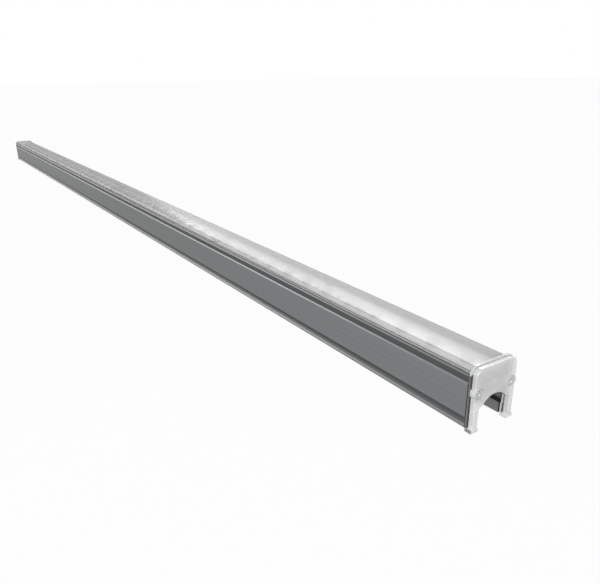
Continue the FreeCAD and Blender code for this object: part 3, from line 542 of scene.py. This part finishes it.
def speckled(name, dark, light, grain, roughness, metallic=0.0, **more):
    """A plain shop finish: two near tones of one colour in a noise of the grain's size in
    millimetres, which also roughens the surface a little."""
    made, tree, output = new_material(name)
    place = add(tree, "ShaderNodeTexCoord")
    noise = add(tree, "ShaderNodeTexNoise", {"Scale": 1 / (grain * MM), "Detail": 3.0},
                {"Vector": place.outputs["Object"]})
    tone = add(tree, "ShaderNodeValToRGB", links={"Fac": noise.outputs["Fac"]})
    tone.color_ramp.elements[0].position = 0.3
    tone.color_ramp.elements[0].color = linear(dark)
    tone.color_ramp.elements[1].position = 0.7
    tone.color_ramp.elements[1].color = linear(light)
    rough = add(tree, "ShaderNodeMapRange",
                {"To Min": roughness - 0.05, "To Max": roughness + 0.05},
                {"Value": noise.outputs["Fac"]})
    skin = add(tree, "ShaderNodeBump", {"Strength": 0.1, "Distance": 0.02 * MM},
               {"Height": noise.outputs["Fac"]})
    body = add(tree, "ShaderNodeBsdfPrincipled", {"Metallic": metallic, **more},
               {"Base Color": tone.outputs["Color"], "Roughness": rough.outputs["Result"],
                "Normal": skin.outputs["Normal"]})
    tree.links.new(body.outputs["BSDF"], output.inputs["Surface"])
    return made


def lens_plastic():
    """Clear acrylic, injection moulded: shows what is under it, with a bright skin."""
    made, tree, output = new_material("clear_acrylic")
    place = add(tree, "ShaderNodeTexCoord")
    haze = add(tree, "ShaderNodeTexNoise", {"Scale": 900.0, "Detail": 1.0},
               {"Vector": place.outputs["Object"]})
    rough = add(tree, "ShaderNodeMapRange", {"To Min": 0.05, "To Max": 0.12},
                {"Value": haze.outputs["Fac"]})
    body = add(tree, "ShaderNodeBsdfPrincipled", {"Base Color": linear("#b4b6b8"), "IOR": 1.49},
               {"Roughness": rough.outputs["Result"]})
    clear = add(tree, "ShaderNodeBsdfTransparent")
    mixed = add(tree, "ShaderNodeMixShader", {"Fac": 0.25},
                {1: body.outputs["BSDF"], 2: clear.outputs["BSDF"]})
    tree.links.new(mixed.outputs["Shader"], output.inputs["Surface"])
    return made


# ---------------------------------------------------------------- the light's pieces

def build_caps(plastic, groove, inner_skin):
    """The caps. Up to the profile's top the groove behind the face is given a dark tone as painted
    shade, where it shows as a dark line. The wall before the hollow core counts its cloudiness
    once, at the outer skin."""
    for side in ("right", "left"):
        node = "end_cap_" + side
        piece = copy_of(node, "moulded_cap_" + side)
        edit(piece)
        bpy.ops.mesh.select_all(action="SELECT")
        bpy.ops.mesh.bisect(plane_co=(0, 0, RAIL_TOP * MM), plane_no=(0, 0, 1))
        leave_edit()
        soften(piece, 0.12)
        wear(piece, plastic, groove, inner_skin)
        far = CAD_BOX[1][0] - CAP_FACE * MM
        near = far - (CAP_NECK + 0.05) * MM
        # painted shade: the dark tone in the groove behind the face
        paint_faces(piece, 1, lambda c, n: near < abs(c.x) < far and c.z < RAIL_TOP * MM)
        wall = CAD_BOX[1][0] - CAP_FRONT_WALL * MM
        paint_faces(piece, 2, lambda c, n: abs(abs(c.x) - wall) < LEAST_GAP * MM and abs(n.x) > 0.9)
        stand_for(piece, node)


def build_gaskets(rubber, film):
    """Gaskets cut from silicone rubber sheet, with a white adhesive film on both faces, which
    shows through the caps."""
    for side in ("right", "left"):
        node = "end_gasket_" + side
        piece = shape_node(node, "cut_gasket_" + side, "gasket_silicone", 0.05, rubber, film)
        paint_faces(piece, 1, lambda c, n: abs(n.x) > 0.9)


def build_seals(rubber):
    for side in ("front", "back"):
        shape_node("cover_seal_" + side, "lip_seal_" + side, "seal_rubber", 0.05, rubber)


def build_cap_screws(steel):
    for side in ("right", "left"):
        node = "end_cap_screws_" + side
        shape_node(node, "cross_head_screws_" + side, "screw_steel", 0.18, steel)


def build_boards(mask, package, phosphor, lens, lens_side_shade):
    """The boards, their light packages with a phosphor window, and the lenses over them."""
    for number in range(1, 5):
        shape_node("led_board_%d" % number, "white_board_%d" % number, "board_white", 0.08, mask)
        name = "light_packages_%d" % number
        lights = shape_node("leds_board_%d" % number, name, "led_package", 0.08, package, phosphor)
        window = BOARD_HIGH[2] + 0.6 * MM
        paint_faces(lights, 1, lambda c, n: n.z > 0.9 and window - 0.1 * MM < c.z < window)
        row = shape_node("lenses_board_%d" % number, "lens_row_%d" % number, "lens_clear", 0.06,
                         lens, lens_side_shade)
        # painted shade: the lenses' sides take the grey tone
        paint_faces(row, 1, lambda c, n: abs(n.z) < 0.5)


def build_board_parts(black, ceramic, film, tin, link, screw):
    """What sits between the lights, with tinned leads and ends."""
    chips = shape_node("driver_chips", "driver_chip_row", "chip_plastic", 0.08, black, tin)
    paint_faces(chips, 1, lambda c, n: c.z < BOARD_HIGH[2] + 0.51 * MM and abs(c.y) < 2.2 * MM)
    for node, name, slot, body in (
            ("buffer_capacitors", "capacitor_row", "capacitor_ceramic", ceramic),
            ("current_resistors", "resistor_row", "resistor_ceramic", film)):
        piece = shape_node(node, name, slot, 0.08, body, tin)
        paint_faces(piece, 1, lambda c, n: abs(c.y) > 1.3 * MM)
    shape_node("board_links", "board_link_row", "link_plastic", 0.12, link)
    shape_node("board_screws", "board_screw_row", "board_screw_steel", 0.12, screw)


def build_tapes(tape):
    for side in ("front", "back"):
        shape_node("thermal_tape_" + side, "tape_strip_" + side, "tape_grey", 0.03, tape)


# ---------------------------------------------------------------- floor, lights and camera

def seen_share(tree, camera_share, gloss_share):
    """A socket with the share of plain white that a ray sees: one for the camera, one for gloss
    and for what shows through plastic, and none for the light that falls on things."""
    path = add(tree, "ShaderNodeLightPath")
    through = add(tree, "ShaderNodeMath", {"operation": "MAXIMUM"},
                  {0: path.outputs["Is Glossy Ray"], 1: path.outputs["Is Transmission Ray"]})
    gloss = add(tree, "ShaderNodeMath", {"operation": "MULTIPLY", 1: gloss_share},
                {0: through.outputs[0]})
    camera = add(tree, "ShaderNodeMath", {"operation": "MULTIPLY", 1: camera_share},
                 {0: path.outputs["Is Camera Ray"]})
    share = add(tree, "ShaderNodeMath", {"operation": "MAXIMUM"},
                {0: camera.outputs[0], 1: gloss.outputs[0]})
    return share.outputs[0]


def studio_paper():
    """White paper that still takes the object's shadow."""
    made, tree, output = new_material("white_paper")
    share = seen_share(tree, 0.96, 0.6)
    paper = add(tree, "ShaderNodeBsdfDiffuse", {"Color": linear("#f2f2f2")})
    white = add(tree, "ShaderNodeEmission", {"Strength": 1.0})
    mixed = add(tree, "ShaderNodeMixShader",
                links={"Fac": share, 1: paper.outputs["BSDF"], 2: white.outputs["Emission"]})
    tree.links.new(mixed.outputs["Shader"], output.inputs["Surface"])
    return made


def build_floor():
    bpy.ops.mesh.primitive_plane_add(size=12, location=(0, 0, -0.0002))
    floor = bpy.context.object
    floor.name = "studio_floor"
    bpy.ops.object.transform_apply(location=True, rotation=False, scale=False)
    wear(floor, studio_paper())


def build_world(level):
    """A white room to the camera and in reflections, and a soft even light of its own."""
    world = bpy.data.worlds.new("studio_room")
    bpy.context.scene.world = world
    world.use_nodes = True
    tree = world.node_tree
    tree.nodes.clear()
    strength = add(tree, "ShaderNodeMapRange", {"To Min": level, "To Max": 1.0},
                   {"Value": seen_share(tree, 1.0, 1.0)})
    back = add(tree, "ShaderNodeBackground", {"Color": linear("#ffffff")},
               {"Strength": strength.outputs["Result"]})
    output = add(tree, "ShaderNodeOutputWorld")
    tree.links.new(back.outputs["Background"], output.inputs["Surface"])


def softbox(name, place, target, width, height, power, only_gloss=False):
    """A flat soft light that faces a target. One that is only for gloss shows in reflections and
    adds no light of its own."""
    lamp = bpy.data.lights.new(name, "AREA")
    lamp.shape = "RECTANGLE"
    lamp.size = width
    lamp.size_y = height
    lamp.energy = power
    box = bpy.data.objects.new(name, lamp)
    bpy.context.collection.objects.link(box)
    box.location = place
    box.rotation_euler = (Vector(target) - Vector(place)).to_track_quat("-Z", "Y").to_euler()
    box.visible_diffuse = not only_gloss
    box.visible_camera = False


def build_lights():
    """Two softboxes beyond the light that its cover mirrors, a fill by the camera for the cap,
    and a long one on the front side for the edges of the profile."""
    softbox("near_cover_softbox", (0.02, 0.5, 0.57), (0.02, -1.0, 0.5), 0.64, 0.42, 7.0, True)
    softbox("mid_cover_softbox", (-0.75, 0.5, 0.57), (-0.75, -1.0, 0.5), 0.9, 0.42, 6.0, True)
    softbox("fill_softbox", (1.2, -0.9, 0.5), (0.45, 0.0, 0.02), 0.8, 0.6, 12.0)
    softbox("edge_softbox", (-1.7, -0.5, 0.32), (-1.7, 1.0, 0.2), 3.0, 0.5, 10.5, True)


def build_camera():
    """The camera stands where the photograph was taken from."""
    back = Vector((math.sin(VIEW_AZIMUTH) * math.cos(VIEW_ELEVATION),
                   -math.cos(VIEW_AZIMUTH) * math.cos(VIEW_ELEVATION),
                   math.sin(VIEW_ELEVATION)))
    right = Vector((math.cos(VIEW_AZIMUTH), math.sin(VIEW_AZIMUTH), 0))
    up = back.cross(right)
    turn = Matrix((right, up, back)).transposed().to_4x4()
    data = bpy.data.cameras.new("photo_camera")
    data.sensor_fit = "HORIZONTAL"
    data.sensor_width = 36.0
    data.lens = PHOTO_FOCUS / PHOTO_WIDTH * data.sensor_width
    data.clip_start = 0.01
    camera = bpy.data.objects.new("photo_camera", data)
    bpy.context.collection.objects.link(camera)
    camera.matrix_world = Matrix.Translation(LENS_PLACE) @ turn @ Matrix.Rotation(VIEW_ROLL, 4, "Z")
    bpy.context.scene.camera = camera


def build_all():
    deselect()
    # Silicone sheet, cut to shape: matt and nearly black.
    dark_rubber = speckled("silicone_rubber", "#262728", "#303132", 0.8, 0.6)
    # Adhesive film, coated on the sheet: plain white.
    adhesive = speckled("adhesive_film", "#d8d9d8", "#e4e5e4", 1.0, 0.5)
    # Extruded rubber: matt dark grey, a thin seam beside the cover.
    seal_rubber = speckled("extruded_rubber", "#3a3b3c", "#454647", 0.8, 0.6)
    # Stainless steel, cold headed: bright, with small glints in the cross.
    steel = speckled("stainless_steel", "#c4c5c6", "#d4d5d6", 0.6, 0.22, 1.0)
    # Solder mask, printed and cured: smooth and white.
    mask = speckled("white_solder_mask", "#e9eae9", "#f3f4f3", 2.0, 0.35)
    # White resin, moulded: the satin frame of each light package.
    package = speckled("white_package", "#ececea", "#f4f4f2", 0.5, 0.4)
    # Phosphor, cast in silicone: matt pale yellow.
    phosphor = speckled("pale_phosphor", "#dedcc4", "#e8e6cf", 0.3, 0.5)
    # Epoxy, moulded: matt black chips.
    black = speckled("black_epoxy", "#18191a", "#222324", 0.4, 0.5)
    # Ceramic, fired: matt tan.
    ceramic = speckled("tan_ceramic", "#6d6152", "#7a6e5e", 0.4, 0.5)
    # Resistor film, printed and glazed: satin black.
    film = speckled("black_film", "#131414", "#1d1e1e", 0.4, 0.3)
    # Copper, tinned: pale and fairly bright leads and ends.
    tin = speckled("tinned_copper", "#b9bab9", "#cbcccb", 0.3, 0.3, 1.0)
    # Nylon, moulded: satin black.
    link = speckled("black_nylon", "#17181a", "#222325", 0.6, 0.45)
    # Steel, blackened: dark with a dull glint.
    dark_screw = speckled("blackened_steel", "#3a3a3b", "#484849", 0.5, 0.35, 1.0)
    # Acrylic, grey as painted shade, so that the lenses' sides read as rings.
    lens_side_shade = speckled("grey_acrylic_painted_shade", "#636567", "#6f7173", 0.3, 0.5)
    # Thermal tape, filled silicone: matt grey.
    tape = speckled("thermal_tape", "#83878a", "#90949a", 1.0, 0.7)
    # The profile's tones: brushed faces, painted shade in the recesses, painted light inside.
    brushed = anodised_aluminium("brushed_aluminium", "#808182", "#8a8b8c", 0.37)
    painted_shade_tone = anodised_aluminium("painted_shade_aluminium", "#58595a", "#616263", 0.45)
    painted_light_tone = anodised_aluminium("painted_light_aluminium", "#a0a1a2", "#aaabac", 0.4)
    build_profile(brushed, painted_shade_tone, painted_light_tone)
    milky = milky_plastic("milky_polycarbonate", 0.5, 0.26, 0.4)
    # A duller copy of the milky material: painted shade on the cover's back edge.
    painted_shade_edge = milky_plastic("milky_polycarbonate_painted_shade", 0.1, 0.6, 0.04)
    inner_skin = milky_plastic("milky_polycarbonate_inside", 0.1, 0.6, 1.0)
    build_cover(milky, painted_shade_edge, inner_skin)
    build_seals(seal_rubber)
    moulded = cap_plastic("natural_polycarbonate", "#e6e7e7", "#f4f4f4", 0.34)
    # A dark copy of the cap material: painted shade in the groove.
    groove = cap_plastic("natural_polycarbonate_painted_shade", "#505254", "#606264", 0.3)
    core_skin = cap_plastic("natural_polycarbonate_core", "#e6e7e7", "#f4f4f4", 1.0)
    build_caps(moulded, groove, core_skin)
    build_gaskets(dark_rubber, adhesive)
    build_cap_screws(steel)
    build_boards(mask, package, phosphor, lens_plastic(), lens_side_shade)
    build_board_parts(black, ceramic, film, tin, link, dark_screw)
    build_tapes(tape)
    build_floor()
    build_world(0.38)
    build_lights()
    build_camera()
    bpy.context.scene.view_settings.view_transform = "Standard"


build_all()
